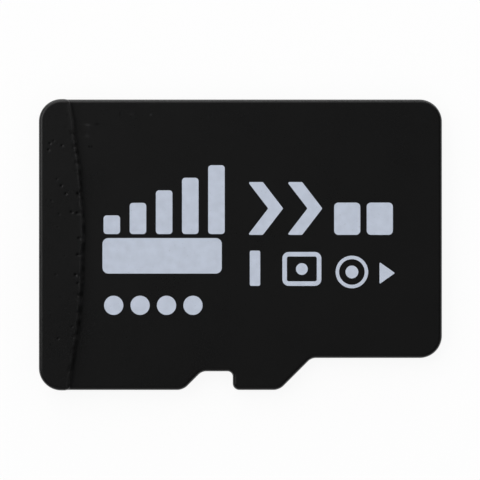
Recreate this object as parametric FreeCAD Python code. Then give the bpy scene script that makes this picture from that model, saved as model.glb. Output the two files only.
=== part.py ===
"""Miniature flash memory card, moulded in one block over a laminate substrate.

The card lies label side up. X runs along the card towards the contact end (the nose), Y across it,
Z up. The origin is the centre of the card's box on the underside. All lengths are in millimetres.
"""
import FreeCAD
import Part
import math
import os

from FreeCAD import Vector

# Card outline
CARD_LENGTH = 15.1
CARD_WIDTH = 10.9
CORNER_RADIUS = 0.84
NOSE_STEP = 1.20            # how much narrower the nose is, on the keyed side
SHOULDER_REACH = 6.10       # nose end to the foot of the sloping shoulder
KEY_WIDTH = 1.75            # tooth between the shoulder and the latch notch
NOTCH_FLOOR = 1.16
NOTCH_DEPTH = 0.70
SLOPE_FOOT_RADIUS = 0.50    # where a slope leaves the card's edge
SLOPE_HEAD_RADIUS = 0.38    # where a slope meets the nose edge or the notch floor
NOTCH_ROOT_RADIUS = 0.20
NOTCH_MOUTH_RADIUS = 0.25

# Card section
SUBSTRATE_THICKNESS = 0.20
BODY_THICKNESS = 0.70
LIP_HEIGHT = 0.30
LIP_RADIUS = 26.0           # in plan: the front of the finger lip bows towards the nose
LIP_END_STRAIGHT = 0.28     # edge between a back corner's round and the lip's end
LIP_DRAFT_DEG = 14.0
LIP_FRONT_ROUND = 0.06      # front edge of the lip, sharper than the outer edges
LIP_FOOT_ROUND = 0.05       # hollow where the front of the lip meets the label face
EDGE_ROUND = 0.15

# Contacts on the underside
CONTACT_NAMES = ["data_2", "data_3", "command", "supply", "clock", "ground", "data_0", "data_1"]
POWER_CONTACTS = ["supply", "ground"]
CONTACT_MARGIN = 0.60       # side of the nose to the first and last contact
CONTACT_GAP = 0.30
CONTACT_REACH = 4.00        # nose end to the inner end of every contact
SIGNAL_SETBACK = 1.10       # nose end to the outer end of a signal contact
POWER_SETBACK = 0.30
CONTACT_CORNER = 0.12
CONTACT_POCKET = 0.050
CONTACT_RECESS = 0.015

# Memory dies, stacked as a staircase that climbs away from the nose
DIE_COUNT = 4
DIE_FILM = 0.020
TREAD_LENGTH = 0.35         # how far each die sits back from the one below
STACK_NOSE_CLEARANCE = 4.50
STACK_BACK_CLEARANCE = 1.85
STACK_SIDE_CLEARANCE = 0.90
MOULD_COVER = 0.10          # compound left above the highest wire loop

# Bond wires
WIRE_WIDTH = 0.025
LOOP_RISE = 0.08
WIRE_FOOT_INSET = 0.06      # die edge to the middle of a wire's first foot
STAIR_SPAN = 0.26
MEMORY_WIRE_COLUMNS = 12
MEMORY_WIRE_MARGIN = 0.40   # die side to the first and last column

# Controller die
CONTROLLER_SETBACK = 1.10   # nose end to the die
CONTROLLER_LENGTH = 2.40
CONTROLLER_WIDTH = 2.20
CONTROLLER_THICKNESS = 0.10
CONTROLLER_SPAN = 0.42
CONTROLLER_WIRE_COUNT = 7   # along each wired edge
CONTROLLER_WIRE_MARGIN = 0.20

# Passive components beside the controller
CHIP_LENGTH = 0.60
CHIP_WIDTH = 0.30
CAPACITOR_HEIGHT = 0.30
RESISTOR_HEIGHT = 0.23
TERMINAL_LENGTH = 0.15
TERMINAL_PROUD = 0.012
CHIP_END_CHAMFER = 0.02
SOLDER_THICKNESS = 0.020
SOLDER_MARGIN = 0.02
CHIP_CLEARANCE = 0.80       # controller side to the middle of the first chip
CHIP_PITCH = 0.65
CHIP_ROWS = 2               # capacitors on each side of the controller
RESISTOR_SHIFT = 1.00       # along the card, from the capacitors towards the shoulder

# Places that follow from the sizes above
NOSE = CARD_LENGTH / 2
BACK = -CARD_LENGTH / 2
FAR_SIDE = CARD_WIDTH / 2
KEYED_SIDE = -CARD_WIDTH / 2
NOSE_SIDE = KEYED_SIDE + NOSE_STEP
NOSE_WIDTH = FAR_SIDE - NOSE_SIDE
NOSE_MIDDLE = (FAR_SIDE + NOSE_SIDE) / 2
LIP_TOP = BODY_THICKNESS + LIP_HEIGHT
LIP_SAGITTA = LIP_RADIUS - math.sqrt(LIP_RADIUS ** 2 - FAR_SIDE ** 2)
LIP_AXIS = BACK + CORNER_RADIUS + LIP_END_STRAIGHT + LIP_SAGITTA - LIP_RADIUS
DECK = SUBSTRATE_THICKNESS  # the substrate's upper face, which carries every die and chip
OUTER_ROUND = min(EDGE_ROUND, 0.8 * LIP_HEIGHT)

STACK_FRONT = NOSE - STACK_NOSE_CLEARANCE
DIE_LENGTH = STACK_FRONT - BACK - STACK_BACK_CLEARANCE - (DIE_COUNT - 1) * TREAD_LENGTH
DIE_WIDTH = NOSE_WIDTH - 2 * STACK_SIDE_CLEARANCE
LEVEL_HEIGHT = (BODY_THICKNESS - DECK - MOULD_COVER - LOOP_RISE) / DIE_COUNT
DIE_THICKNESS = LEVEL_HEIGHT - DIE_FILM

CONTROLLER_FRONT = NOSE - CONTROLLER_SETBACK
CONTROLLER_BACK = CONTROLLER_FRONT - CONTROLLER_LENGTH
CONTROLLER_TOP = DECK + DIE_FILM + CONTROLLER_THICKNESS

UP = Vector(0, 0, 1)


def rounded_face(corners, z):
    """Flat face at height z from (x, y, radius) corners, each rounded by an arc tangent to its sides."""
    points = [Vector(x, y, z) for x, y, _ in corners]
    count = len(points)
    starts, middles, ends = [], [], []
    for i, corner in enumerate(points):
        before = points[i - 1] - corner
        after = points[(i + 1) % count] - corner
        room = min(before.Length, after.Length) * 0.48
        half_inside = before.getAngle(after) / 2
        radius = min(corners[i][2], room * math.tan(half_inside))
        tangent = radius / math.tan(half_inside)
        before.normalize()
        after.normalize()
        inward = (before + after).normalize()
        starts.append(corner + before * tangent)
        middles.append(corner + inward * (radius / math.sin(half_inside) - radius))
        ends.append(corner + after * tangent)
    edges = []
    for i in range(count):
        edges.append(Part.Arc(starts[i], middles[i], ends[i]).toShape())
        edges.append(Part.LineSegment(ends[i], starts[(i + 1) % count]).toShape())
    return Part.Face(Part.Wire(edges))


def box_between(low, high):
    """Box from its lowest corner to its highest."""
    low, high = Vector(*low), Vector(*high)
    size = high - low
    return Part.makeBox(size.x, size.y, size.z, low)


def card_face(z):
    """The card's plan outline, with its keyed side: shoulder, tooth and latch notch."""
    shoulder_foot = NOSE - SHOULDER_REACH
    notch_wall = shoulder_foot - KEY_WIDTH
    notch_slope = notch_wall - NOTCH_FLOOR
    notch_floor_y = KEYED_SIDE + NOTCH_DEPTH
    return rounded_face(
        [
            (BACK, KEYED_SIDE, CORNER_RADIUS),
            (notch_slope - NOTCH_DEPTH, KEYED_SIDE, SLOPE_FOOT_RADIUS),
            (notch_slope, notch_floor_y, SLOPE_HEAD_RADIUS),
            (notch_wall, notch_floor_y, NOTCH_ROOT_RADIUS),
            (notch_wall, KEYED_SIDE, NOTCH_MOUTH_RADIUS),
            (shoulder_foot, KEYED_SIDE, SLOPE_FOOT_RADIUS),
            (shoulder_foot + NOSE_STEP, NOSE_SIDE, SLOPE_HEAD_RADIUS),
            (NOSE, NOSE_SIDE, CORNER_RADIUS),
            (NOSE, FAR_SIDE, CORNER_RADIUS),
            (BACK, FAR_SIDE, CORNER_RADIUS),
        ],
        z,
    )


def card_prism(low, high):
    """The card's outline as a block between two heights."""
    return card_face(low).extrude(UP * (high - low))


def lies_at(edge, z):
    """True for an edge that lies flat at height z."""
    return abs(edge.BoundBox.ZMin - z) < 1e-6 and abs(edge.BoundBox.ZMax - z) < 1e-6


def bows(edge):
    """True for an edge that turns about the axis of the finger lip's front."""
    return isinstance(edge.Curve, Part.Circle) and abs(edge.Curve.Center.x - LIP_AXIS) < 1e-6


def round_together(shape, radius_of):
    """Rounds edges at one go, each by its own radius (0 for none), so that the rounds blend where they meet."""
    document = FreeCAD.newDocument("rounds")
    base = document.addObject("Part::Feature", "base")
    base.Shape = shape
    fillet = document.addObject("Part::Fillet", "fillet")
    fillet.Base = base
    radii = [radius_of(edge) for edge in base.Shape.Edges]
    fillet.Edges = [(i + 1, radius, radius) for i, radius in enumerate(radii) if radius]
    document.recompute()
    rounded = fillet.Shape.copy()
    FreeCAD.closeDocument(document.Name)
    return rounded


def finger_lip():
    """Raised lip along the back end. Its front is a shallow cone face, so it bows towards the nose."""
    slope = math.tan(math.radians(LIP_DRAFT_DEG))
    low_radius = LIP_RADIUS + slope * (BODY_THICKNESS - DECK)
    high_radius = LIP_RADIUS - slope * LIP_HEIGHT
    cone = Part.makeCone(low_radius, high_radius, LIP_TOP - DECK, Vector(LIP_AXIS, 0, DECK))
    return card_prism(DECK, LIP_TOP).common(cone)


def outer_radius(edge):
    """Round of an edge of the moulded body's outer form."""
    if bows(edge):
        return LIP_FRONT_ROUND if lies_at(edge, LIP_TOP) else 0
    return OUTER_ROUND if lies_at(edge, BODY_THICKNESS) or lies_at(edge, LIP_TOP) else 0


def mould_blank():
    """Outer form of the moulded body: a slab with the finger lip at its back, and its rounds.

    The foot of the lip is rounded first, so that the round of the card's edge runs on up the lip's ends.
    """
    blank = card_prism(DECK, BODY_THICKNESS).fuse(finger_lip()).removeSplitter()
    foot = [e for e in blank.Edges if bows(e) and lies_at(e, BODY_THICKNESS)]
    return round_together(blank.makeFillet(LIP_FOOT_ROUND, foot), outer_radius)


def contact_places():
    """Name and (x low, x high, y low, y high) of each contact, from the keyed side to the far side."""
    count = len(CONTACT_NAMES)
    width = (NOSE_WIDTH - 2 * CONTACT_MARGIN - (count - 1) * CONTACT_GAP) / count
    for i, name in enumerate(CONTACT_NAMES):
        low = NOSE_SIDE + CONTACT_MARGIN + i * (width + CONTACT_GAP)
        setback = POWER_SETBACK if name in POWER_CONTACTS else SIGNAL_SETBACK
        yield f"contact_{i + 1}_{name}", (NOSE - CONTACT_REACH, NOSE - setback, low, low + width)


def contact_block(place, low, high):
    """Plate with rounded corners over a contact's place."""
    x0, x1, y0, y1 = place
    corners = [(x, y, CONTACT_CORNER) for x, y in ((x0, y0), (x1, y0), (x1, y1), (x0, y1))]
    return rounded_face(corners, low).extrude(UP * (high - low))


def substrate():
    """Laminate under the whole card, with a shallow pocket for every contact."""
    pockets = [contact_block(place, 0, CONTACT_POCKET) for _, place in contact_places()]
    return card_prism(0, SUBSTRATE_THICKNESS).cut(pockets)


def contacts():
    """Plated contacts, seated in their pockets a little below the underside."""
    return {name: contact_block(place, CONTACT_RECESS, CONTACT_POCKET) for name, place in contact_places()}


def memory_stack():
    """Dies and the adhesive film under each, from the lowest up."""
    side = NOSE_MIDDLE - DIE_WIDTH / 2
    pieces = {}
    for level in range(DIE_COUNT):
        front = STACK_FRONT - level * TREAD_LENGTH
        bottom = DECK + level * LEVEL_HEIGHT
        low = (front - DIE_LENGTH, side)
        high = (front, side + DIE_WIDTH)
        seat = bottom + DIE_FILM
        pieces[f"memory_die_film_{level + 1}"] = box_between((*low, bottom), (*high, seat))
        pieces[f"memory_die_{level + 1}"] = box_between((*low, seat), (*high, seat + DIE_THICKNESS))
    return pieces


def controller():
    """Controller die on its adhesive film, in the middle of the nose."""
    low = (CONTROLLER_BACK, NOSE_MIDDLE - CONTROLLER_WIDTH / 2)
    high = (CONTROLLER_FRONT, NOSE_MIDDLE + CONTROLLER_WIDTH / 2)
    seat = DECK + DIE_FILM
    return {
        "controller_die_film": box_between((*low, DECK), (*high, seat)),
        "controller_die": box_between((*low, seat), (*high, CONTROLLER_TOP)),
    }


def bond_wire(foot, direction, span, drop):
    """One wire: a neck that rises from its first foot, then a straight run down to its second foot.

    It lies in the upright plane through foot along direction, and ends flat on both seats.
    """
    half = WIRE_WIDTH / 2
    fall = -(drop + LOOP_RISE) / (span + WIRE_WIDTH)
    upright = WIRE_WIDTH * math.sqrt(1 + fall * fall)
    inner_top = LOOP_RISE + fall * WIRE_WIDTH - upright
    landing = span + half
    outline = [
        (-half, 0),
        (half, 0),
        (half, inner_top),
        (landing + upright / fall, -drop),
        (landing, -drop),
        (-half, LOOP_RISE),
    ]
    across = UP.cross(direction)
    points = [foot + direction * s + UP * z - across * half for s, z in outline]
    return Part.Face(Part.makePolygon(points + points[:1])).extrude(across * WIRE_WIDTH)


def spaced(middle, room, count):
    """Positions of count evenly spaced wires over the room, centred on middle."""
    pitch = room / (count - 1)
    return [middle - room / 2 + i * pitch for i in range(count)]


def memory_wires():
    """Each column of wires steps down the staircase from the top die to the substrate."""
    towards_nose = Vector(1, 0, 0)
    wires = []
    for y in spaced(NOSE_MIDDLE, DIE_WIDTH - 2 * MEMORY_WIRE_MARGIN, MEMORY_WIRE_COLUMNS):
        for level in range(DIE_COUNT):
            x = STACK_FRONT - level * TREAD_LENGTH - WIRE_FOOT_INSET
            foot = Vector(x, y, DECK + (level + 1) * LEVEL_HEIGHT)
            wires.append(bond_wire(foot, towards_nose, STAIR_SPAN, LEVEL_HEIGHT))
    return Part.makeCompound(wires)


def controller_wires():
    """Wires from the controller's back edge and both its sides to the substrate."""
    drop = CONTROLLER_TOP - DECK
    middle_x = (CONTROLLER_FRONT + CONTROLLER_BACK) / 2
    reach = CONTROLLER_WIDTH / 2 - WIRE_FOOT_INSET
    wires = []
    for y in spaced(NOSE_MIDDLE, CONTROLLER_WIDTH - 2 * CONTROLLER_WIRE_MARGIN, CONTROLLER_WIRE_COUNT):
        foot = Vector(CONTROLLER_BACK + WIRE_FOOT_INSET, y, CONTROLLER_TOP)
        wires.append(bond_wire(foot, Vector(-1, 0, 0), CONTROLLER_SPAN, drop))
    for x in spaced(middle_x, CONTROLLER_LENGTH - 2 * CONTROLLER_WIRE_MARGIN, CONTROLLER_WIRE_COUNT):
        for side in (-1, 1):
            foot = Vector(x, NOSE_MIDDLE + side * reach, CONTROLLER_TOP)
            wires.append(bond_wire(foot, Vector(0, side, 0), CONTROLLER_SPAN, drop))
    return Part.makeCompound(wires)


def chip(x, y, height):
    """Surface-mount chip along X on its solder: a body between two terminals that stand a little proud."""
    bottom = DECK + SOLDER_THICKNESS
    inset = TERMINAL_PROUD
    body = box_between(
        (x - CHIP_LENGTH / 2 + inset, y - CHIP_WIDTH / 2 + inset, bottom + inset),
        (x + CHIP_LENGTH / 2 - inset, y + CHIP_WIDTH / 2 - inset, bottom + height - inset),
    )
    for end in (-1, 1):
        outer = x + end * CHIP_LENGTH / 2
        inner = outer - end * TERMINAL_LENGTH
        terminal = box_between(
            (min(outer, inner), y - CHIP_WIDTH / 2, bottom),
            (max(outer, inner), y + CHIP_WIDTH / 2, bottom + height),
        )
        end_face = max(terminal.Faces, key=lambda face: end * face.CenterOfMass.x)
        body = body.fuse(terminal.makeChamfer(CHIP_END_CHAMFER, end_face.Edges))
    return body.removeSplitter()


def chip_solder(x, y):
    """The two solder seats under one chip."""
    for end in (-1, 1):
        outer = x + end * (CHIP_LENGTH / 2 + SOLDER_MARGIN)
        inner = x + end * (CHIP_LENGTH / 2 - TERMINAL_LENGTH - SOLDER_MARGIN)
        half = CHIP_WIDTH / 2 + SOLDER_MARGIN
        low = (min(outer, inner), y - half, DECK)
        yield box_between(low, (max(outer, inner), y + half, DECK + SOLDER_THICKNESS))


def passives():
    """Capacitors in short rows on both sides of the controller, with one resistor behind each row."""
    capacitor_x = CONTROLLER_FRONT - CHIP_LENGTH / 2
    pieces, solder = {}, []
    number = 0
    for index, side in enumerate((-1, 1)):
        for row in range(CHIP_ROWS):
            number += 1
            y = NOSE_MIDDLE + side * (CONTROLLER_WIDTH / 2 + CHIP_CLEARANCE + row * CHIP_PITCH)
            pieces[f"capacitor_{number}"] = chip(capacitor_x, y, CAPACITOR_HEIGHT)
            solder += chip_solder(capacitor_x, y)
        x = capacitor_x - RESISTOR_SHIFT
        y = NOSE_MIDDLE + side * (CONTROLLER_WIDTH / 2 + CHIP_CLEARANCE)
        pieces[f"resistor_{index + 1}"] = chip(x, y, RESISTOR_HEIGHT)
        solder += chip_solder(x, y)
    pieces["solder_joints"] = Part.makeCompound(solder)
    return pieces


def card_pieces():
    """Every piece of the card by name. The moulded body is the blank less all that it encloses."""
    enclosed = {**memory_stack(), **controller(), **passives()}
    enclosed["memory_bond_wires"] = memory_wires()
    enclosed["controller_bond_wires"] = controller_wires()
    body = mould_blank().cut([solid for piece in enclosed.values() for solid in piece.Solids])
    return {"moulded_body": body, "substrate": substrate(), **contacts(), **enclosed}


def main():
    os.makedirs("parts", exist_ok=True)
    for name, piece in card_pieces().items():
        piece.exportStep(f"parts/{name}.step")


main()
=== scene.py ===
import math
import random
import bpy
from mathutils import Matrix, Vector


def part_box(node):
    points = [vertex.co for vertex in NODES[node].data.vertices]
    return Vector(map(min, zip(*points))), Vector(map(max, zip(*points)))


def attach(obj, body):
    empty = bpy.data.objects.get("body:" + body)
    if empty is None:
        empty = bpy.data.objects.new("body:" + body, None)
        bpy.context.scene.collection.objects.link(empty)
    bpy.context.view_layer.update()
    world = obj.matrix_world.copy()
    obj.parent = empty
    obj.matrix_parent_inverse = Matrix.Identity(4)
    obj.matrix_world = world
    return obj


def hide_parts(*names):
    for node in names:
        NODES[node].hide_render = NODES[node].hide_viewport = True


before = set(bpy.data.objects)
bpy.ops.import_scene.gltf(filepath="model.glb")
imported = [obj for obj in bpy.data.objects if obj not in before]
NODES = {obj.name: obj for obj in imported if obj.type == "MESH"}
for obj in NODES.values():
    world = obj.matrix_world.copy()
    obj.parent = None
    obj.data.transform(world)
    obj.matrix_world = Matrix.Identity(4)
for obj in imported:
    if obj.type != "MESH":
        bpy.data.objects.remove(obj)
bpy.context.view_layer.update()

from types import SimpleNamespace

import bmesh
import bpy
from bpy.props import FloatProperty, FloatVectorProperty, IntProperty, PointerProperty
from mathutils import Vector, noise

bl_info = {
    "name": "Miniature memory card",
    "version": (1, 0, 0),
    "blender": (4, 5, 0),
    "location": "3D View > Sidebar > Memory Card",
    "description": "Builds the looks of a miniature memory card over its packed solids",
    "category": "Object",
}

MM = 1000.0  # millimetres in a metre: meshes are shaped in millimetres and shrunk at the end


def span(node, axis):
    """Size of a node along one axis, in metres."""
    low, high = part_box(node)
    return high[axis] - low[axis]


def length(name, description, default):
    """Property for a length in metres."""
    return FloatProperty(name=name, description=description, default=default, unit="LENGTH", precision=6)


def colour(name, description, default):
    """Property for a linear colour."""
    return FloatVectorProperty(name=name, description=description, default=default, subtype="COLOR", size=3)


class CardSizes(bpy.types.PropertyGroup):
    """Sizes of the card's outline, section and contacts."""

    card_length: length("Card length", "Back end to nose", span("substrate", 0))
    card_width: length("Card width", "Across the card at its widest", span("substrate", 1))
    corner_radius: length("Corner radius", "Round of the four corners in plan", 0.00084)
    nose_step: length("Nose step", "How much narrower the nose is", 0.0012)
    shoulder_reach: length("Shoulder reach", "Nose end to the foot of the shoulder", 0.0061)
    key_width: length("Key width", "Tooth between shoulder and notch", 0.00175)
    notch_floor: length("Notch floor", "Width of the notch at its floor", 0.00116)
    notch_depth: length("Notch depth", "Depth of the latch notch", 0.0007)
    slope_foot_radius: length("Slope foot radius", "Round where a slope leaves the edge", 0.0005)
    slope_head_radius: length("Slope head radius", "Round at the inner end of a slope", 0.00038)
    notch_root_radius: length("Notch root radius", "Round at the notch's inner corner", 0.0002)
    notch_mouth_radius: length("Notch mouth radius", "Round at the notch's outer corner", 0.00025)
    deck: length("Deck height", "Top of the laminate, where the moulding starts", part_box("substrate")[1].z)
    body_top: length("Label face height", "Underside to label face", 0.0007)
    lip_top: length("Lip height", "Underside to the top of the finger lip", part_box("moulded_body")[1].z)
    lip_radius: length("Lip radius", "Bow of the lip's front in plan", 0.026)
    lip_end_straight: length("Lip end straight", "Edge between corner round and lip end", 0.00028)
    lip_draft: length("Lip draft", "How far the lip's front leans back", 0.000075)
    edge_round: length("Edge round", "Round of the card's upper edges", 0.00015)
    lip_front_round: length("Lip front round", "Round of the lip's front edge", 0.00006)
    lip_foot_round: length("Lip foot round", "Round where the lip's front meets the label face", 0.00005)
    contact_pocket: length("Contact pocket", "Depth of the contact pockets", 0.00005)
    contact_corner: length("Contact corner", "Corner round of a contact", 0.00012)
    contact_rim: length("Contact rim", "Round of a contact's lower rim", 0.000012)
    ink_thickness: length("Ink thickness", "Height of the print above the label face", 0.000006)


class CardWear(bpy.types.PropertyGroup):
    """Handling marks on the finger lip."""

    cell: length("Grid cell", "Spacing of the grid that carries the pits", 0.000032)
    pit_radius: length("Pit radius", "Typical radius of a pit", 0.000042)
    pit_depth: length("Pit depth", "Typical depth of a pit", 0.000017)
    ragged: length("Ragged edge", "How far the lip's front edge wanders", 0.000024)
    chip: length("Chip depth", "Typical depth of a chip in the lip's front edge", 0.000032)
    seed: IntProperty(name="Seed", description="Seed of the small scattered pits", default=7)


class CardColours(bpy.types.PropertyGroup):
    """Colours of the card and its stage, linear."""

    mould: colour("Moulding", "Black epoxy compound", (0.0042, 0.0042, 0.0043))
    laminate: colour("Laminate", "Black resist on the underside", (0.0065, 0.0068, 0.0070))
    ink: colour("Ink", "Pale print on the label face", (0.51, 0.56, 0.66))
    gold: colour("Gold", "Plated contacts", (0.83, 0.58, 0.24))
    silicon: colour("Silicon", "Polished dies", (0.16, 0.17, 0.20))
    floor: colour("Floor", "Studio floor", (0.94, 0.94, 0.94))


class Socket:
    """A shader socket that takes part in Python sums."""

    def __init__(self, paint, out):
        self.paint = paint
        self.out = out

    def math(self, operation, *values):
        """Result of one Math node."""
        return self.paint.node("ShaderNodeMath", {"operation": operation}, dict(enumerate(values)))

    def __add__(self, other):
        return self.math("ADD", self, other)

    def __radd__(self, other):
        return self.math("ADD", other, self)

    def __sub__(self, other):
        return self.math("SUBTRACT", self, other)

    def __rsub__(self, other):
        return self.math("SUBTRACT", other, self)

    def __mul__(self, other):
        return self.math("MULTIPLY", self, other)

    def __rmul__(self, other):
        return self.math("MULTIPLY", other, self)

    def __abs__(self):
        return self.math("ABSOLUTE", self)

    def larger(self, other):
        """The larger of two values."""
        return self.math("MAXIMUM", self, other)

    def bell(self):
        """1 at 0, falling off as the value grows."""
        return self.math("EXPONENT", self * -1.0)

    def steps(self, low, high):
        """0 below low, 1 above high, smooth between."""
        return self.paint.node(
            "ShaderNodeMapRange",
            {"interpolation_type": "SMOOTHSTEP"},
            {"Value": self, "From Min": low, "From Max": high},
        )


class Paint:
    """Node tree of one material or world, with one way to add a node."""

    def __init__(self, owner):
        owner.use_nodes = True
        self.tree = owner.node_tree
        self.tree.nodes.clear()

    def node(self, kind, settings=None, values=None, output=0):
        """Adds a node, sets it up, feeds its sockets and returns one of its outputs."""
        made = self.tree.nodes.new(kind)
        for key, value in (settings or {}).items():
            setattr(made, key, value)
        for key, value in (values or {}).items():
            if isinstance(value, Socket):
                self.tree.links.new(value.out, made.inputs[key])
            else:
                made.inputs[key].default_value = value
        return Socket(self, made.outputs[output]) if made.outputs else made

    def place(self):
        """Object coordinates."""
        return self.node("ShaderNodeTexCoord", output="Object")

    def axis(self, name):
        """One Object coordinate, in metres."""
        return self.node("ShaderNodeSeparateXYZ", values={0: self.place()}, output=name)

    def stretched(self, scale):
        """Object coordinates scaled along each axis."""
        return self.node("ShaderNodeMapping", values={"Vector": self.place(), "Scale": scale})

    def grain(self, size, detail=2.0, rough=0.5, place=None):
        """Noise from 0 to 1 whose blotches are about size wide, in metres or in units of place."""
        values = {"Vector": place or self.place(), "Scale": 1.0 / size, "Detail": detail, "Roughness": rough}
        return self.node("ShaderNodeTexNoise", values=values)

    def mix(self, factor, first, second):
        """Mix of two colours."""
        sides = {0: factor, 6: self.shade(first), 7: self.shade(second)}
        return self.node("ShaderNodeMix", {"data_type": "RGBA"}, sides, 2)

    @staticmethod
    def shade(value):
        """A colour with its fourth number, or a socket as it is."""
        return value if isinstance(value, Socket) else (*value, 1.0)

    def bump(self, height, distance):
        """Normal from a height between 0 and 1, distance metres tall."""
        return self.node("ShaderNodeBump", values={"Height": height, "Distance": distance})

    def attribute(self, name):
        """A number that the mesh holds for each vertex."""
        return self.node("ShaderNodeAttribute", {"attribute_name": name}, output="Fac")

    def shader(self, **values):
        """Principled shader."""
        named = {key.replace("_", " "): value for key, value in values.items()}
        return self.node("ShaderNodeBsdfPrincipled", values=named)

    def finish(self, shader):
        """Puts a shader on the material's output."""
        self.node("ShaderNodeOutputMaterial", values={"Surface": shader})

    def surface(self, **values):
        """Principled surface on the material's output."""
        self.finish(self.shader(**values))


def new_paint(name):
    """Fresh material and its paint."""
    material = bpy.data.materials.new(name)
    return material, Paint(material)


def scaled(shade, factor):
    """A colour made lighter or darker."""
    return tuple(channel * factor for channel in shade)


# Vertex attributes of the moulding
PAINTED_SHADE_AND_DIRT = "painted_shade_and_dirt"  # share of the matte dark shader: painted shade on the lamp side of the lip's pits, dirt and painted shade on the lip's worn front
FRAYED = "frayed"  # 1 on the lip's worn front, which is rougher than the rest

# Marks on the label face by the lip, as (x, y, half length, half width, strength), in metres from the middle
# Lighter marks: scuffs, partly painted glints of small pits
LIGHT_SCUFFS_AND_GLINTS = (
    (-0.00573, 0.00449, 0.00011, 0.00005, 0.7), (-0.00576, 0.00408, 0.00009, 0.00006, 0.5),
    (-0.00410, 0.00490, 0.00008, 0.00004, 0.4), (-0.00337, 0.00487, 0.00004, 0.00004, 1.0),
)
# Darker spots: dirt, partly painted shade of small pits
DIRT_AND_PIT_SHADE_SPOTS = (
    (-0.00539, 0.00452, 0.00008, 0.00005, 0.35), (-0.00568, 0.00368, 0.00003, 0.00004, 0.7),
    (-0.00559, 0.00368, 0.00003, 0.00004, 0.6), (-0.00453, 0.00491, 0.00003, 0.00008, 0.3),
)


def marks(p, places):
    """Cover of soft oval marks, from 0 to 1."""
    x, y = p.axis("X"), p.axis("Y")
    cover = 0.0
    for at_x, at_y, half_x, half_y, strength in places:
        along, across = (x - at_x) * (1 / half_x), (y - at_y) * (1 / half_y)
        cover = cover + (along * along + across * across).bell() * strength
    return cover


def mould_finish(shade):
    """Black epoxy compound: fine matte grain, faint clouding, tiny filler specks, marks from handling,
    painted shade and glints for small pits, dirt with painted shade on the lip's front.
    """
    material, p = new_paint("mould_compound")
    cloud = p.grain(0.0022, 3.0)
    fine = p.grain(0.00005, 2.0, 0.6)
    specks = p.grain(0.000024, 1.0).steps(0.66, 0.76)
    base = p.mix(cloud, scaled(shade, 0.86), scaled(shade, 1.14))
    base = p.mix(specks * 0.35, base, scaled(shade, 2.4))
    # Lighter marks on the label face, made by lightening the colour: scuffs and painted glints
    base = p.mix(marks(p, LIGHT_SCUFFS_AND_GLINTS), base, scaled(shade, 5.0))
    height = fine * 0.7 + p.grain(0.00016, 2.0) * 0.3
    body = p.shader(
        Base_Color=base,
        Roughness=0.23 + fine * 0.08 + cloud * 0.04 + p.attribute(FRAYED) * 0.45,
        Specular_IOR_Level=0.45,
        Normal=p.bump(height, 0.0000028),
    )
    # Matte dark shader: painted shade in the lip's pits and in spots on the label face, dirt with painted
    # shade on the lip's front
    painted_shade_and_dirt = p.shader(Base_Color=p.shade(scaled(shade, 0.2)), Roughness=0.9, Specular_IOR_Level=0.0)
    # Dark spots on the label face use the same matte dark shader: dirt and painted shade of small pits
    cover = p.attribute(PAINTED_SHADE_AND_DIRT) + marks(p, DIRT_AND_PIT_SHADE_SPOTS)
    p.finish(p.node("ShaderNodeMixShader", values={0: cover, 1: body, 2: painted_shade_and_dirt}))
    return material


def ink_finish(shade):
    """Pale screen ink: a little mottled, thinner in small spots."""
    material, p = new_paint("label_ink")
    cloud = p.grain(0.00032, 3.0)
    fine = p.grain(0.00006, 2.0, 0.6)
    thin = p.grain(0.00009, 2.0).steps(0.66, 0.80)
    base = p.mix(cloud, scaled(shade, 0.88), scaled(shade, 1.12))
    base = p.mix(thin * 0.45, base, scaled(shade, 0.55))
    p.surface(
        Base_Color=base,
        Roughness=0.48 + fine * 0.16,
        Specular_IOR_Level=0.35,
        Normal=p.bump(fine, 0.0000015),
    )
    return material


def laminate_finish(shade):
    """Black resist over glass laminate: weave just showing through, satin."""
    material, p = new_paint("laminate")
    warp, weft = (
        p.node(
            "ShaderNodeTexWave",
            {"bands_direction": way},
            {"Vector": p.place(), "Scale": 1300.0, "Distortion": 0.6},
        )
        for way in "XY"
    )
    fine = p.grain(0.00005, 2.0)
    scuff = p.grain(1.0, 4.0, 0.7, p.stretched((900.0, 9000.0, 4000.0))).steps(0.60, 0.78)
    base = p.mix(p.grain(0.002, 3.0), scaled(shade, 0.85), scaled(shade, 1.15))
    base = p.mix(scuff * 0.5, base, scaled(shade, 2.2))
    p.surface(
        Base_Color=base,
        Roughness=0.36 + fine * 0.10 + scuff * 0.15,
        Specular_IOR_Level=0.45,
        Normal=p.bump(warp * weft * 0.7 + fine * 0.3, 0.000002),
    )
    return material


def gold_finish(shade):
    """Gold plating wiped along the card by socket springs."""
    material, p = new_paint("contact_gold")
    wipe = p.grain(1.0, 4.0, 0.65, p.stretched((500.0, 26000.0, 4000.0)))
    cloud = p.grain(0.0007, 3.0)
    lines = wipe.steps(0.55, 0.75)
    base = p.mix(cloud, scaled(shade, 0.88), scaled(shade, 1.08))
    base = p.mix(lines * 0.5, base, scaled(shade, 0.72))
    p.surface(
        Base_Color=base,
        Metallic=1.0,
        Roughness=0.24 + lines * 0.18 + cloud * 0.06,
        Normal=p.bump(wipe, 0.0000012),
    )
    return material


def silicon_finish(shade):
    """Back-ground silicon: dark mirror with fine curved grinding lines."""
    material, p = new_paint("silicon")
    rings = p.node(
        "ShaderNodeTexWave",
        {"wave_type": "RINGS"},
        {"Vector": p.place(), "Scale": 4200.0, "Distortion": 1.5, "Detail": 2.0},
    )
    base = p.mix(p.grain(0.001, 2.0), scaled(shade, 0.85), scaled(shade, 1.15))
    p.surface(Base_Color=base, Metallic=0.55, Roughness=0.18 + rings * 0.12, Normal=p.bump(rings, 0.0000008))
    return material


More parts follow.
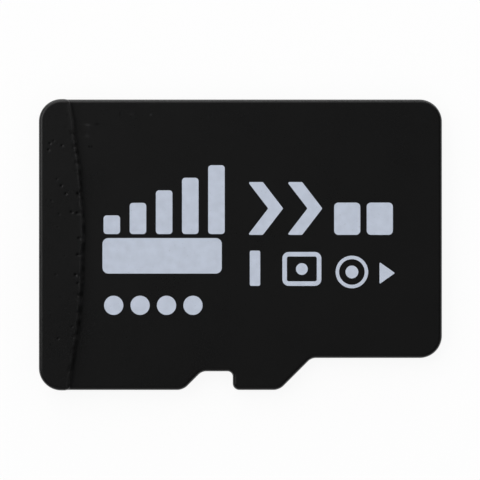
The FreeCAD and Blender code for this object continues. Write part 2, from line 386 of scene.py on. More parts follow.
def film_finish():
    """Amber adhesive film."""
    material, p = new_paint("die_film")
    cloud = p.grain(0.0004, 3.0)
    p.surface(
        Base_Color=p.mix(cloud, (0.20, 0.10, 0.03), (0.34, 0.19, 0.07)),
        Roughness=0.42 + cloud * 0.15,
        Normal=p.bump(cloud, 0.000001),
    )
    return material


CAPACITOR_BODY = (0.46, 0.30, 0.16)
RESISTOR_BODY = (0.03, 0.03, 0.035)
CHIP_END = 0.00015  # length of a chip's tinned end, in metres
CHIP_END_BLUR = 0.000008  # half width of the change from ceramic to tin, in metres


def chip_finish(name, body):
    """Chip component: ceramic between two tinned ends, told apart along X."""
    material, p = new_paint(name)
    low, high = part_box(name)
    half = (high.x - low.x) / 2 - CHIP_END
    ends = abs(p.axis("X") - (low.x + high.x) / 2).steps(half - CHIP_END_BLUR, half + CHIP_END_BLUR)
    grain = p.grain(0.00003, 2.0)
    ceramic = p.mix(grain, scaled(body, 0.8), scaled(body, 1.2))
    p.surface(
        Base_Color=p.mix(ends, ceramic, (0.66, 0.67, 0.68)),
        Metallic=ends,
        Roughness=0.50 - ends * 0.14 + grain * 0.08,
        Normal=p.bump(grain, 0.0000015),
    )
    return material


def solder_finish():
    """Reflowed tin, slightly frosted."""
    material, p = new_paint("solder")
    frost = p.grain(0.00003, 3.0)
    p.surface(
        Base_Color=p.mix(frost, (0.55, 0.56, 0.58), (0.70, 0.71, 0.72)),
        Metallic=1.0,
        Roughness=0.24 + frost * 0.22,
        Normal=p.bump(frost, 0.000002),
    )
    return material


def wire_finish(shade):
    """Drawn gold wire."""
    material, p = new_paint("bond_wire_gold")
    draw = p.grain(0.00002, 2.0)
    p.surface(
        Base_Color=p.mix(draw, scaled(shade, 0.9), scaled(shade, 1.1)),
        Metallic=1.0,
        Roughness=0.20 + draw * 0.12,
        Normal=p.bump(draw, 0.0000005),
    )
    return material


def sizes_in_mm():
    """Every length of the card in millimetres."""
    sizes = bpy.context.scene.card_sizes
    return SimpleNamespace(**{key: getattr(sizes, key) * MM for key in CardSizes.__annotations__})


def lip_end(s):
    """X of the lip's two ends, on the card's long edges."""
    return -s.card_length / 2 + s.corner_radius + s.lip_end_straight


def card_corners(s):
    """The card's plan corners as (x, y, radius), counter-clockwise from the keyed back corner.

    The points of radius 0 are the lip's ends.
    """
    back, nose = -s.card_length / 2, s.card_length / 2
    keyed, far = -s.card_width / 2, s.card_width / 2
    shoulder = nose - s.shoulder_reach
    wall = shoulder - s.key_width
    slope = wall - s.notch_floor
    floor = keyed + s.notch_depth
    return [
        (back, keyed, s.corner_radius),
        (lip_end(s), keyed, 0.0),
        (slope - s.notch_depth, keyed, s.slope_foot_radius),
        (slope, floor, s.slope_head_radius),
        (wall, floor, s.notch_root_radius),
        (wall, keyed, s.notch_mouth_radius),
        (shoulder, keyed, s.slope_foot_radius),
        (shoulder + s.nose_step, keyed + s.nose_step, s.slope_head_radius),
        (nose, keyed + s.nose_step, s.corner_radius),
        (nose, far, s.corner_radius),
        (lip_end(s), far, 0.0),
        (back, far, s.corner_radius),
    ]


def rounded_face(bm, corners, z, step_deg=5.0):
    """Flat face at height z whose (x, y, radius) corners are rounded by bevelling its vertices."""
    verts = [bm.verts.new((x, y, z)) for x, y, _ in corners]
    before = set(bm.faces)
    bm.faces.new(verts)
    points = [v.co.copy() for v in verts]
    for i, vert in enumerate(verts):
        radius = corners[i][2]
        if radius == 0.0:
            continue
        turn = math.pi - (points[i - 1] - points[i]).angle(points[(i + 1) % len(points)] - points[i])
        bmesh.ops.bevel(
            bm, geom=[vert], offset=radius * math.tan(turn / 2), offset_type="OFFSET", affect="VERTICES",
            segments=max(3, round(math.degrees(turn) / step_deg)), profile=0.5, material=-1,
        )
    return next(f for f in bm.faces if f not in before)


def rounded_plate(bm, x0, x1, y0, y1, radius, z, step_deg):
    """Flat rectangle at height z with rounded corners."""
    corners = ((x0, y0), (x1, y0), (x1, y1), (x0, y1))
    return rounded_face(bm, [(x, y, radius) for x, y in corners], z, step_deg)


def with_rims(faces):
    """Faces with their edges and vertices, each once."""
    edges = dict.fromkeys(e for f in faces for e in f.edges)
    verts = dict.fromkeys(v for f in faces for v in f.verts)
    return [*faces, *edges, *verts]


def raise_faces(bm, faces, height, keep=False):
    """Extrudes faces straight up and returns the new faces; the old ones stay only to close a plate."""
    made = bmesh.ops.extrude_face_region(bm, geom=faces)["geom"]
    if not keep:
        bmesh.ops.delete(bm, geom=faces, context="FACES")
    bmesh.ops.translate(bm, vec=(0, 0, height), verts=[g for g in made if isinstance(g, bmesh.types.BMVert)])
    return [g for g in made if isinstance(g, bmesh.types.BMFace)]


SMOOTH_BELOW = math.radians(40)  # edges with a wider angle show as creases


def finish_piece(bm, name, material, replaced):
    """Shrinks a mesh to metres, makes it an object on the card and hides the parts it stands in for."""
    bmesh.ops.recalc_face_normals(bm, faces=bm.faces)
    for face in bm.faces:
        face.smooth = True
    for edge in bm.edges:
        edge.smooth = edge.calc_face_angle(0.0) < SMOOTH_BELOW
    bmesh.ops.scale(bm, vec=(1 / MM,) * 3, verts=bm.verts)
    mesh = bpy.data.meshes.new(name)
    bm.to_mesh(mesh)
    bm.free()
    mesh.materials.append(material)
    piece = bpy.data.objects.new(name, mesh)
    bpy.context.scene.collection.objects.link(piece)
    even = piece.modifiers.new("even_shading", "WEIGHTED_NORMAL")
    even.mode = "FACE_AREA"
    even.weight = 100
    even.keep_sharp = True
    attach(piece, "root")
    if replaced:
        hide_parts(*replaced)
    return piece


def lip_axis(s):
    """X of the upright axis that the lip's front bows about."""
    return lip_end(s) - math.sqrt(s.lip_radius ** 2 - (s.card_width / 2) ** 2)


def near(a, b):
    """True if two lengths are the same to two thousandths of a millimetre."""
    return abs(a - b) < 2e-3


def split_lip(bm, face, s, steps):
    """Parts the plan face along the lip's bowed front and returns (lip, rest).

    The bow's first and last steps are long enough for the rounds of the card's edges to end within them.
    """
    axis, half = lip_axis(s), s.card_width / 2
    far = next(v for v in face.verts if near(v.co.x, lip_end(s)) and v.co.y > 0)
    keyed = next(v for v in face.verts if near(v.co.x, lip_end(s)) and v.co.y < 0)
    turn = math.asin((half - 2 * s.edge_round) / s.lip_radius)
    first = bm.verts.new(
        (axis + s.lip_radius * math.cos(turn), s.lip_radius * math.sin(turn), far.co.z)
    )
    made = bmesh.ops.spin(
        bm, geom=[first], cent=(axis, 0, far.co.z), axis=(0, 0, 1), angle=-2 * turn, steps=steps,
        use_duplicate=False,
    )
    last = next(g for g in made["geom_last"] if isinstance(g, bmesh.types.BMVert))
    bm.edges.new((far, first))
    bm.edges.new((last, keyed))
    net = [e for e in bm.edges if not e.link_faces]
    parts = bmesh.utils.face_split_edgenet(face, net)
    return sorted(parts, key=lambda f: f.calc_area())


def top_faces(bm, z):
    """Faces that lie flat at height z and look up."""
    return [f for f in bm.faces if f.normal.z > 0.999 and abs(f.calc_center_median().z - z) < 1e-4]


def slice_faces(bm, z, axis, low, high, cell):
    """Cuts the flat faces at height z into strips across one axis."""
    count = int((high - low) / cell)
    normal = Vector((0, 0, 0))
    normal[axis] = 1.0
    for i in range(1, count):
        at = Vector((0, 0, 0))
        at[axis] = low + (high - low) * i / count
        cut = [
            f for f in top_faces(bm, z)
            if min(v.co[axis] for v in f.verts) < at[axis] < max(v.co[axis] for v in f.verts)
        ]
        bmesh.ops.bisect_plane(bm, geom=with_rims(cut), dist=1e-5, plane_co=at, plane_no=normal)


# Pits in the top of the lip, as (x, y, radius share, depth share), in millimetres from the middle
LIP_PITS = (
    (-7.12, 3.78, 1.0, 0.9), (-6.99, 3.88, 0.8, 0.8), (-6.67, 3.70, 0.9, 1.0), (-7.18, 3.54, 1.0, 1.0),
    (-6.35, 4.72, 0.8, 0.7), (-6.70, 2.20, 1.1, 0.9), (-6.86, 2.45, 0.8, 0.7), (-6.53, 1.90, 1.0, 0.9),
    (-6.32, 1.21, 1.2, 0.9), (-6.11, 1.18, 1.2, 1.0), (-6.78, 1.15, 0.9, 0.6), (-7.07, 1.64, 0.8, 0.6),
    (-6.05, 0.24, 1.1, 0.9), (-6.08, -0.38, 1.2, 1.0), (-6.16, -1.13, 1.3, 1.0), (-6.08, -1.45, 1.2, 0.9),
    (-6.30, -3.07, 0.9, 0.6), (-6.83, -3.51, 0.9, 1.0), (-6.91, -1.12, 1.0, 0.5), (-5.95, 3.65, 1.2, 1.0),
    (-5.94, 3.24, 1.2, 1.1), (-5.95, 2.94, 1.4, 1.1), (-6.08, 1.90, 1.3, 1.0), (-6.03, -1.87, 1.0, 0.9),
)
SMALL_PITS = 30  # scattered at random between the others, within these limits
SMALL_PIT_FROM_BACK = (0.25, 1.5)  # millimetres from the back end
SMALL_PIT_ACROSS = (-0.45, 0.45)  # share of the card's width
SMALL_PIT_RADIUS = (0.4, 0.7)
SMALL_PIT_DEPTH = (0.2, 0.5)
PIT_REACH = 8.0  # a pit ends where the squared distance is this many times its squared radius
PIT_SHADE_SHIFT = 0.5  # how far the painted shade in a pit lies off its middle, up and to the left towards the lamps, as a share of its radius

# Chips out of the lip's front edge, as (y, half width, depth share), in millimetres from the middle
LIP_CHIPS = (
    (4.15, 0.10, 1.0), (3.68, 0.07, 1.2), (3.40, 0.05, 0.8), (3.05, 0.09, 1.3), (2.62, 0.05, 0.7),
    (1.92, 0.12, 1.2), (1.22, 0.08, 0.8), (0.25, 0.06, 0.9), (-0.36, 0.05, 0.7), (-1.15, 0.09, 0.9),
    (-1.87, 0.06, 1.4), (-2.52, 0.05, 1.0), (-3.42, 0.08, 1.5), (-3.95, 0.12, 1.0), (-4.62, 0.16, 1.1),
)
CHIP_SINK = 0.7  # how far a chip lowers the edge, as a share of how far it sets it back

# Lengths of the lip's worn front, in millimetres
LIP_REACH = 1.8  # back end to beyond the lip's front: the part of the card that carries pits
FRAY_START = 0.05  # the fraying sets in this far behind the front edge's round
FRAY_END = 0.35  # and ends this far from where it sets in
END_CALM = 0.3  # the front is less ragged within this distance of the rounds at its ends
STEEP_REACH = 1.5  # the far half grows upright within this distance of its end
UPRIGHT_REACH, UPRIGHT_BLEND = 0.3, 0.15  # the keyed half turns upright this near its end, over this length
ROUGH_BLEND = 0.03  # width of the change from the lip's top to its rough front, and of the edge of the dirt and painted shade
DIRT_SHADE_START = 0.06  # the dirt and painted shade set in this far from where the fraying does
DIRT_SHADE_EARLIER = 0.03  # and this much sooner on the keyed side
DIRT_SHADE_TURN = 2.0  # which counts from this far off the middle
DIRT_SHADE_TOP = 4.7  # on the far side the dirt and painted shade end this far off the middle
DIRT_SHADE_FADE = 1.6  # and fades over this length

# Shares of the lip's worn front
STEEP_HALF = 0.6  # how upright its far half stands
DIRT_SHADE_SHARE, DIRT_SHADE_SWAY = 0.32, 0.5  # how much of it is darkened with dirt and painted shade, and how much that varies
FOOT_RISE = 0.02  # part of its height that counts as the label face


def share(value):
    """A value kept between 0 and 1."""
    return min(1.0, max(0.0, value))


def lip_wander(y, rise, wear):
    """How far the lip's front strays along X at a place across the card, in millimetres.

    It frays towards its top.
    """
    slow = noise.noise((2.7, y * 0.9, 4.0))
    jags = noise.fractal((0.4, y * 3.4, 8.0), 0.4, 2.2, 6)
    return (slow + jags * (0.1 + 0.7 * rise ** 2)) * wear.ragged * MM


def lip_chip(y, wear):
    """How much is chipped off the lip's front edge at a place across the card, in millimetres."""
    rough = 0.7 + 0.6 * noise.noise((5.1, y * 22.0, 1.0))
    depth = sum(part * math.exp(-((y - at) / half) ** 4) for at, half, part in LIP_CHIPS)
    return depth * rough * wear.chip * MM


def lip_upright(y, inside):
    """How upright the lip's front stands at a place across the card, inside millimetres from its side.

    0 is its full draft and 1 is upright. It is upright at its ends, and steep on the far half.
    """
    if y > 0:
        return STEEP_HALF + (1 - STEEP_HALF) * share(STEEP_REACH - inside)
    return share((UPRIGHT_REACH - inside) / UPRIGHT_BLEND)


def lip_dirt_and_shade(y, out):
    """Share of dirt and painted shade on the lip's front at a place across the card, out millimetres into the
    front.
    """
    start = DIRT_SHADE_START - DIRT_SHADE_EARLIER * share(-y - DIRT_SHADE_TURN)
    patches = share(DIRT_SHADE_SHARE + DIRT_SHADE_SWAY * noise.noise((3.3, y * 5.0, 2.0)))
    return patches * share((DIRT_SHADE_TOP - y) / DIRT_SHADE_FADE) * share((out - start) / ROUGH_BLEND)


def lip_pits(s, wear):
    """Every pit in the lip as (x, y, radius, depth), in millimetres: the placed ones, then the small ones."""
    radius, depth = wear.pit_radius * MM, wear.pit_depth * MM
    pits = [(x, y, r * radius, d * depth) for x, y, r, d in LIP_PITS]
    rng = random.Random(wear.seed)
    for _ in range(SMALL_PITS):
        x = -s.card_length / 2 + rng.uniform(*SMALL_PIT_FROM_BACK)
        y = rng.uniform(*SMALL_PIT_ACROSS) * s.card_width
        pits.append((x, y, radius * rng.uniform(*SMALL_PIT_RADIUS), depth * rng.uniform(*SMALL_PIT_DEPTH)))
    return pits


def press_pits(vert, pits, full_depth, painted_shade_and_dirt):
    """Sinks a vertex of the lip's top into the pits around it, with painted shade on each pit's side towards
    the lamps.
    """
    x, y, _ = vert.co
    for at_x, at_y, radius, depth in pits:
        away = ((x - at_x) ** 2 + (y - at_y) ** 2) / radius ** 2
        if away >= PIT_REACH:
            continue
        ripple = noise.noise((x * 16.0, y * 16.0, at_x))
        vert.co.z -= depth * math.exp(-away * (1.0 + 0.9 * ripple))
        # Painted shade: each pit's colour darkens on its upper left side, towards the lamps, where its wall
        # lies in shade
        off_x, off_y = x - at_x + PIT_SHADE_SHIFT * radius, y - at_y - PIT_SHADE_SHIFT * radius
        pit_shade = math.exp(-1.6 * (off_x ** 2 + off_y ** 2) / radius ** 2)
        vert[painted_shade_and_dirt] = min(1.0, vert[painted_shade_and_dirt] + pit_shade * depth / full_depth)


def fray_front(vert, y, z, out, s, wear, painted_shade_and_dirt, frayed):
    """Makes a vertex of the lip's front ragged, rough, and darker with dirt and painted shade."""
    inside = s.card_width / 2 - abs(y)
    rise = max(0.0, (z - s.body_top) / (s.lip_top - s.body_top))
    fade = min(1.0, out / FRAY_START)
    worn = fade * share((inside - s.edge_round) / END_CALM)
    chip = lip_chip(y, wear)
    if rise > FOOT_RISE:
        vert[frayed] = share(out / ROUGH_BLEND - 1.0) * share(inside / s.edge_round)
        # Dirt and painted shade: the worn front is darkened in colour, which deepens the dark line along the
        # lip's front
        vert[painted_shade_and_dirt] = max(vert[painted_shade_and_dirt], vert[frayed] * lip_dirt_and_shade(y, out))
    lean = fade * rise * s.lip_draft * lip_upright(y, inside)
    vert.co.x += worn * (lip_wander(y, rise, wear) - rise * chip) + lean
    vert.co.z -= worn * rise ** 3 * chip * CHIP_SINK


def wear_lip(bm, s, wear):
    """Presses pits into the gridded top of the lip and makes its front ragged."""
    back, half_width, cell = -s.card_length / 2, s.card_width / 2, wear.cell * MM
    slice_faces(bm, s.lip_top, 1, -half_width, half_width, cell)
    slice_faces(bm, s.lip_top, 0, back, back + LIP_REACH, cell)
    pits = lip_pits(s, wear)
    axis, front = lip_axis(s), s.lip_radius - s.lip_draft - s.lip_front_round - FRAY_START
    painted_shade_and_dirt, frayed = (bm.verts.layers.float[name] for name in (PAINTED_SHADE_AND_DIRT, FRAYED))
    for vert in bm.verts:
        x, y, z = vert.co
        out = math.hypot(x - axis, y) - front
        if z < s.body_top - 1e-3 or out > FRAY_END:
            continue
        if z > s.lip_top - 1e-4:
            press_pits(vert, pits, wear.pit_depth * MM, painted_shade_and_dirt)
        if out > 0.0:
            fray_front(vert, y, z, out, s, wear, painted_shade_and_dirt, frayed)


FOLD = math.radians(20)  # faces that meet at a wider angle have an edge between them


def sharp_edges(bm):
    """Outward edges between faces that meet at an angle."""
    return [e for e in bm.edges if e.is_manifold and e.is_convex and e.calc_face_angle() > FOLD]


def join_walls(bm):
    """Joins upright faces that lie in one plane."""
    flat = [
        e for e in bm.edges
        if e.is_manifold and e.calc_face_angle() < 1e-4 and all(abs(f.normal.z) < 0.5 for f in e.link_faces)
    ]
    bmesh.ops.dissolve_edges(bm, edges=flat, use_verts=True)


def lip_crest_edges(bm, s):
    """Outward edges between the lip's front wall and its top."""
    top = set(top_faces(bm, s.lip_top))
    return [
        e for e in sharp_edges(bm)
        if any(f in top for f in e.link_faces) and any(f.normal.x > 0.9 for f in e.link_faces)
    ]


def lip_foot_edges(bm, s):
    """Inward edges along the foot of the lip's front wall."""
    inward = [e for e in bm.edges if e.is_manifold and not e.is_convex and e.calc_face_angle() > FOLD]
    return [e for e in inward if all(near(v.co.z, s.body_top) for v in e.verts)]


def round_edges(bm, edges, radius, segments):
    """Rounds edges and brings the normals up to date."""
    bmesh.ops.bevel(
        bm, geom=edges, offset=radius, offset_type="OFFSET", affect="EDGES", segments=segments, profile=0.5,
        material=-1, clamp_overlap=False, loop_slide=True,
    )
    bm.normal_update()


BOW_STEPS = 320  # along the lip's front
FOOT_STEPS, EDGE_STEPS, FRONT_STEPS = 6, 8, 5  # across the round of each kind of edge


def raise_blank(bm, s):
    """Raises the card's plan to the label face and the lip above that, with the lip's front leaning back."""
    plan = rounded_face(bm, card_corners(s), s.deck)
    raised = raise_faces(bm, split_lip(bm, plan, s, BOW_STEPS), s.body_top - s.deck, keep=True)
    lip = min(raised, key=lambda f: f.calc_area())
    shared = [v for v in lip.verts if any(f in raised and f != lip for f in v.link_faces)]
    front = {(round(v.co.x, 4), round(v.co.y, 4)) for v in shared}
    (lip,) = raise_faces(bm, [lip], s.lip_top - s.body_top)
    crest = [v for v in lip.verts if (round(v.co.x, 4), round(v.co.y, 4)) in front]
    bmesh.ops.translate(bm, vec=(-s.lip_draft, 0, 0), verts=crest)
    bmesh.ops.recalc_face_normals(bm, faces=bm.faces)
    join_walls(bm)


def round_blank(bm, s):
    """Rounds the foot of the lip, then the card's upper edges, then the lip's front edge."""
    round_edges(bm, lip_foot_edges(bm, s), s.lip_foot_round, FOOT_STEPS)
    crest = lip_crest_edges(bm, s)
    upper = [e for e in sharp_edges(bm) if all(v.co.z > s.body_top - 1e-3 for v in e.verts)]
    round_edges(bm, [e for e in upper if e not in crest], s.edge_round, EDGE_STEPS)
    crest = [e for e in sharp_edges(bm) if all(v.co.z > s.body_top for v in e.verts)]
    round_edges(bm, crest, s.lip_front_round, FRONT_STEPS)


class CARD_OT_moulding(bpy.types.Operator):
    """Moulded body with its bowed finger lip, rounded edges and handling marks"""

    bl_idname = "card.moulding"
    bl_label = "Moulded body"

    def execute(self, context):
        s = sizes_in_mm()
        bm = bmesh.new()
        for layer in (PAINTED_SHADE_AND_DIRT, FRAYED):
            bm.verts.layers.float.new(layer)
        raise_blank(bm, s)
        round_blank(bm, s)
        wear_lip(bm, s, context.scene.card_wear)
        compound = mould_finish(context.scene.card_colours.mould)
        finish_piece(bm, "card_moulding", compound, ["moulded_body"])
        return {"FINISHED"}


def contact_places():
    """Name and (x low, x high, y low, y high) of each contact, in millimetres."""
    for name in sorted(n for n in NODES if n.startswith("contact_")):
        low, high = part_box(name)
        yield name, (low.x * MM, high.x * MM, low.y * MM, high.y * MM)


def underside(bm):
    """Faces that lie flat at the bottom of the card."""
    return [f for f in bm.faces if f.calc_center_median().z < 1e-5]


def cut_underside(bm, places):
    """Cuts the underside along the sides of every contact."""
    cuts = {(axis, round(value, 6)) for place in places for axis, value in zip((0, 0, 1, 1), place)}
    for axis, value in sorted(cuts):
        at, normal = Vector((0, 0, 0)), Vector((0, 0, 0))
        at[axis], normal[axis] = value, 1.0
        bmesh.ops.bisect_plane(bm, geom=with_rims(underside(bm)), dist=1e-6, plane_co=at, plane_no=normal)


def sink_pocket(bm, place, depth):
    """Sinks one contact's pocket into the underside and returns the upright edges at its corners."""
    x0, x1, y0, y1 = place
    cells = []
    for face in underside(bm):
        middle = face.calc_center_median()
        if x0 < middle.x < x1 and y0 < middle.y < y1:
            cells.append(face)
    upright = []
    for vert in dict.fromkeys(v for f in raise_faces(bm, cells, depth) for v in f.verts):
        at_end = near(vert.co.x, x0) or near(vert.co.x, x1)
        at_side = near(vert.co.y, y0) or near(vert.co.y, y1)
        if at_end and at_side:
            upright += [e for e in vert.link_edges if abs(e.verts[0].co.z - e.verts[1].co.z) > depth / 2]
    return upright


class CARD_OT_substrate(bpy.types.Operator):
    """Laminate under the whole card, with a shallow pocket for every contact"""

    bl_idname = "card.substrate"
    bl_label = "Substrate"

    def execute(self, context):
        s = sizes_in_mm()
        bm = bmesh.new()
        plan = rounded_face(bm, card_corners(s), 0.0)
        raise_faces(bm, [plan], s.deck, keep=True)
        bm.normal_update()
        places = [place for _, place in contact_places()]
        cut_underside(bm, places)
        walls = [edge for place in places for edge in sink_pocket(bm, place, s.contact_pocket)]
        bmesh.ops.bevel(
            bm, geom=walls, offset=s.contact_corner, offset_type="OFFSET", affect="EDGES", segments=5,
            profile=0.5, material=-1,
        )
        laminate = laminate_finish(context.scene.card_colours.laminate)
        finish_piece(bm, "card_substrate", laminate, ["substrate"])
        return {"FINISHED"}


class CARD_OT_contacts(bpy.types.Operator):
    """Plated contacts, each seated in its pocket"""

    bl_idname = "card.contacts"
    bl_label = "Contacts"

    def execute(self, context):
        s = sizes_in_mm()
        gold = gold_finish(context.scene.card_colours.gold)
        for name, place in contact_places():
            low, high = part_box(name)
            bm = bmesh.new()
            plate = rounded_plate(bm, *place, s.contact_corner, low.z * MM, step_deg=15.0)
            rim = list(plate.edges)
            raise_faces(bm, [plate], (high.z - low.z) * MM, keep=True)
            bmesh.ops.bevel(
                bm, geom=rim, offset=s.contact_rim, offset_type="OFFSET", affect="EDGES", segments=2,
                profile=0.5, material=-1,
            )
            finish_piece(bm, name.replace("contact_", "contact_plate_"), gold, [name])
        return {"FINISHED"}


# The print's shapes, in millimetres from the middle
INK_SINK = 0.002  # the print starts this far inside the moulding, so that no gap shows under it
INK_STEP_DEG = 12.0  # turn of one step round the corner of a plate
INK_BARS = tuple((-5.14 + i * 0.98, -4.52 + i * 0.98, 0.40, 1.10 + i * 0.47, 0.12) for i in range(5))
INK_PLATES = (  # x low, x high, y low, y high, corner radius
    *INK_BARS,
    (-5.18, -0.71, -1.08, 0.25, 0.22),
    (3.50, 4.48, 0.37, 1.58, 0.16),
    (4.72, 5.70, 0.37, 1.58, 0.16),
    (0.34, 0.73, -1.54, -0.22, 0.06),
)
INK_FRAME = (1.56, 3.02, -1.54, -0.27, 0.24)  # the same five numbers
INK_FRAME_STROKE = 0.17
INK_RING = (4.165, -1.02, 0.61)  # x, y, radius
INK_RING_STROKE = 0.13
INK_DOTS = (  # x, y, radius
    (2.29, -0.91, 0.22),
    (4.165, -1.02, 0.24),
    *((-4.76 + i * 0.99, -2.27, 0.36) for i in range(4)),
)
CHEVRON = ((0, 0.37), (0.56, 0.37), (1.32, 1.36), (0.56, 2.35), (0, 2.35), (0.76, 1.36))
CHEVRON_LEFTS = (0.27, 1.74)
CHEVRON_CORNER = 0.05
ARROW = ((5.20, -1.47), (5.78, -1.06), (5.20, -0.65))
ARROW_CORNER = 0.03


def ink_frame(bm, x0, x1, y0, y1, radius, stroke, z):
    """Rounded square ring of ink."""
    outer = rounded_plate(bm, x0, x1, y0, y1, radius, z, INK_STEP_DEG)
    hole = (x0 + stroke, x1 - stroke, y0 + stroke, y1 - stroke)
    inner = rounded_plate(bm, *hole, radius - stroke, z, INK_STEP_DEG)
    edges = list(outer.edges) + list(inner.edges)
    bmesh.ops.delete(bm, geom=[outer, inner], context="FACES_ONLY")
    bmesh.ops.bridge_loops(bm, edges=edges)


def ink_ring(bm, x, y, outer, stroke, z):
    """Round ring of ink."""
    edges = []
    for radius in (outer, outer - stroke):
        made = bmesh.ops.create_circle(bm, segments=64, radius=radius)["verts"]
        bmesh.ops.translate(bm, vec=(x, y, z), verts=made)
        edges += dict.fromkeys(e for v in made for e in v.link_edges)
    bmesh.ops.bridge_loops(bm, edges=edges)


def ink_dot(bm, x, y, radius, z):
    """Round spot of ink."""
    made = bmesh.ops.create_circle(bm, cap_ends=True, segments=40, radius=radius)["verts"]
    bmesh.ops.translate(bm, vec=(x, y, z), verts=made)


class CARD_OT_print(bpy.types.Operator):
    """Plain pale print on the label face: bars, plates, rings and the arrow that shows which end goes in"""

    bl_idname = "card.print"
    bl_label = "Label print"

    def execute(self, context):
        s = sizes_in_mm()
        z = s.body_top - INK_SINK
        bm = bmesh.new()
        for plate in INK_PLATES:
            rounded_plate(bm, *plate, z, INK_STEP_DEG)
        for left in CHEVRON_LEFTS:
            rounded_face(bm, [(left + x, y, CHEVRON_CORNER) for x, y in CHEVRON], z, step_deg=15.0)
        rounded_face(bm, [(x, y, ARROW_CORNER) for x, y in ARROW], z, step_deg=30.0)
        ink_frame(bm, *INK_FRAME, INK_FRAME_STROKE, z)
        ink_ring(bm, *INK_RING, INK_RING_STROKE, z)
        for dot in INK_DOTS:
            ink_dot(bm, *dot, z)
        bm.normal_update()
        for face in bm.faces:
            if face.normal.z < 0:
                face.normal_flip()
        raise_faces(bm, list(bm.faces), s.ink_thickness + INK_SINK, keep=True)
        finish_piece(bm, "label_print", ink_finish(context.scene.card_colours.ink), [])
        return {"FINISHED"}


class CARD_OT_inside(bpy.types.Operator):
    """Finishes of the dies, films, wires, chips and solder inside the moulding"""

    bl_idname = "card.inside"
    bl_label = "Inner pieces"

    def execute(self, context):
        colours = context.scene.card_colours
        silicon, film = silicon_finish(colours.silicon), film_finish()
        solder, wire = solder_finish(), wire_finish(colours.gold)
        for name, node in NODES.items():
            if name.startswith("capacitor_"):
                finish = chip_finish(name, CAPACITOR_BODY)
            elif name.startswith("resistor_"):
                finish = chip_finish(name, RESISTOR_BODY)
            elif "_film" in name:
                finish = film
            elif "_die" in name:
                finish = silicon
            elif name == "solder_joints":
                finish = solder
            elif name.endswith("_wires"):
                finish = wire
            else:
                continue
            for slot in node.material_slots:
                slot.material = finish
        return {"FINISHED"}


CARD_MIDDLE = Vector((0, 0, 0))

# Lamps as (name, place, size, watts), in metres; each is turned to the card
SOFTBOXES = (
    ("key_softbox", (-0.15, 0.22, 0.25), (0.42, 0.28), 0.49),
    ("back_softbox", (0.0, 0.25, 0.05), (0.50, 0.06), 0.30),
    ("side_softbox", (-0.12, 0.02, 0.14), (0.05, 0.14), 0.034),
    ("top_softbox", (0.01, 0.045, 0.25), (0.18, 0.18), 0.0062),
    ("front_softbox", (-0.02, -0.15, 0.15), (0.16, 0.14), 0.0106),
)

FLOOR_REACH = 0.4  # half the floor's side, in metres
FLOOR_GLOW = 0.90  # share of plain white in the floor as the camera and mirrors see it; the rest is lit
WALL_FADE = (0.09, 0.14)  # sine of the height over which the white walls give way to the ceiling
CEILING = 0.035  # brightness of the ceiling, which the label face mirrors
FILL = 0.60  # brightness of the surround as a light

PICTURE_SIDE = 480  # pixels of the picture, each way
PIXELS_PER_MM = 26.69  # scale of the card in it
PICTURE_MIDDLE = (-0.73, 4.75)  # where the picture's middle lies from the card's, in pixels


def softbox(name, place, size, watts):
    """Rectangular lamp at place, turned to the card."""
    lamp = bpy.data.lights.new(name, "AREA")
    lamp.shape = "RECTANGLE"
    lamp.size, lamp.size_y = size
    lamp.energy = watts
    holder = bpy.data.objects.new(name, lamp)
    holder.location = place
    holder.rotation_euler = (CARD_MIDDLE - Vector(place)).to_track_quat("-Z", "Y").to_euler()
    bpy.context.scene.collection.objects.link(holder)


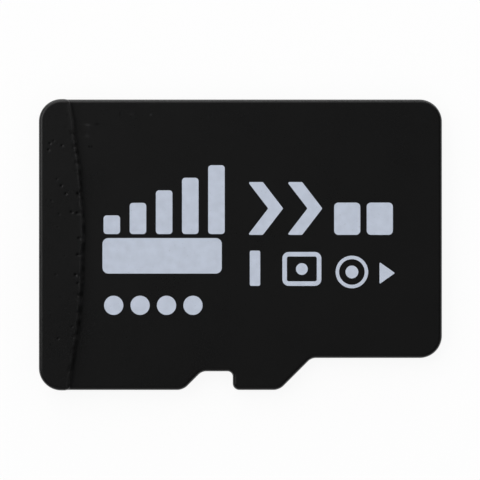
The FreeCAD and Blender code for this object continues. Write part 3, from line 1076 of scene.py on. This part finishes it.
class CARD_OT_stage(bpy.types.Operator):
    """White floor, soft lamps, studio surround and the camera over the card"""

    bl_idname = "card.stage"
    bl_label = "Stage"

    def execute(self, context):
        scene = context.scene
        scene.view_settings.view_transform = "Standard"
        self.floor(scene)
        self.surround(scene)
        for lamp in SOFTBOXES:
            softbox(*lamp)
        self.camera(scene)
        return {"FINISHED"}

    def floor(self, scene):
        """White floor under the card."""
        bm = bmesh.new()
        bmesh.ops.create_grid(bm, x_segments=1, y_segments=1, size=FLOOR_REACH)
        mesh = bpy.data.meshes.new("studio_floor")
        bm.to_mesh(mesh)
        bm.free()
        material, p = new_paint("studio_floor")
        shade = scene.card_colours.floor
        tone = p.mix(p.grain(0.02, 2.0), scaled(shade, 0.99), scaled(shade, 1.01))
        matte = p.node("ShaderNodeBsdfDiffuse", values={"Color": tone})
        glow = p.node("ShaderNodeEmission", values={"Color": (1.0, 1.0, 1.0, 1.0), "Strength": 1.0})
        lit = p.node("ShaderNodeMixShader", values={0: self.seen(p) * FLOOR_GLOW, 1: matte, 2: glow})
        p.finish(lit)
        mesh.materials.append(material)
        floor = bpy.data.objects.new("studio_floor", mesh)
        scene.collection.objects.link(floor)

    @staticmethod
    def seen(p):
        """1 for rays that show the stage itself: straight to the camera, mirrored or through glass."""
        straight, mirrored, through = (
            p.node("ShaderNodeLightPath", output=kind)
            for kind in ("Is Camera Ray", "Is Glossy Ray", "Is Transmission Ray")
        )
        return straight.larger(mirrored).larger(through)

    def surround(self, scene):
        """Studio round the card: white walls under a dark ceiling."""
        world = bpy.data.worlds.new("studio")
        scene.world = world
        p = Paint(world)
        direction = p.node("ShaderNodeTexCoord", output="Generated")
        walls = 1 - p.node("ShaderNodeSeparateXYZ", values={0: direction}, output="Z").steps(*WALL_FADE)
        seen = self.seen(p)
        strength = seen * (CEILING + walls * (1 - CEILING)) + (1 - seen) * FILL
        sky = p.node("ShaderNodeBackground", values={"Color": (1.0, 1.0, 1.0, 1.0), "Strength": strength})
        p.node("ShaderNodeOutputWorld", values={"Surface": sky})

    def camera(self, scene):
        """Camera straight above the card, as far off as its long lens needs."""
        data = bpy.data.cameras.new("camera")
        data.lens = 180.0
        data.sensor_width = 36.0
        data.clip_start, data.clip_end = 0.005, 2.0
        camera = bpy.data.objects.new("camera", data)
        pixel = 1 / PIXELS_PER_MM / MM
        distance = PICTURE_SIDE * pixel * data.lens / data.sensor_width
        x, y = (offset * pixel for offset in PICTURE_MIDDLE)
        camera.location = (x, y, scene.card_sizes.body_top + distance)
        scene.collection.objects.link(camera)
        scene.camera = camera


class CARD_PT_panel(bpy.types.Panel):
    """Sidebar list of the card's pieces"""

    bl_idname = "CARD_PT_panel"
    bl_label = "Memory Card"
    bl_space_type = "VIEW_3D"
    bl_region_type = "UI"
    bl_category = "Memory Card"

    def draw(self, context):
        for group in (context.scene.card_sizes, context.scene.card_wear, context.scene.card_colours):
            box = self.layout.box()
            for key in type(group).__annotations__:
                box.prop(group, key)
        for operator in OPERATORS:
            self.layout.operator(operator.bl_idname)


OPERATORS = (
    CARD_OT_moulding, CARD_OT_substrate, CARD_OT_contacts, CARD_OT_print, CARD_OT_inside, CARD_OT_stage,
)
CLASSES = (CardSizes, CardWear, CardColours, *OPERATORS, CARD_PT_panel)


def register():
    for cls in CLASSES:
        bpy.utils.register_class(cls)
    bpy.types.Scene.card_sizes = PointerProperty(type=CardSizes)
    bpy.types.Scene.card_wear = PointerProperty(type=CardWear)
    bpy.types.Scene.card_colours = PointerProperty(type=CardColours)


def unregister():
    del bpy.types.Scene.card_colours
    del bpy.types.Scene.card_wear
    del bpy.types.Scene.card_sizes
    for cls in reversed(CLASSES):
        bpy.utils.unregister_class(cls)


def main():
    register()
    bpy.ops.card.moulding()
    bpy.ops.card.substrate()
    bpy.ops.card.contacts()
    bpy.ops.card.print()
    bpy.ops.card.inside()
    bpy.ops.card.stage()


if __name__ == "__main__":
    main()
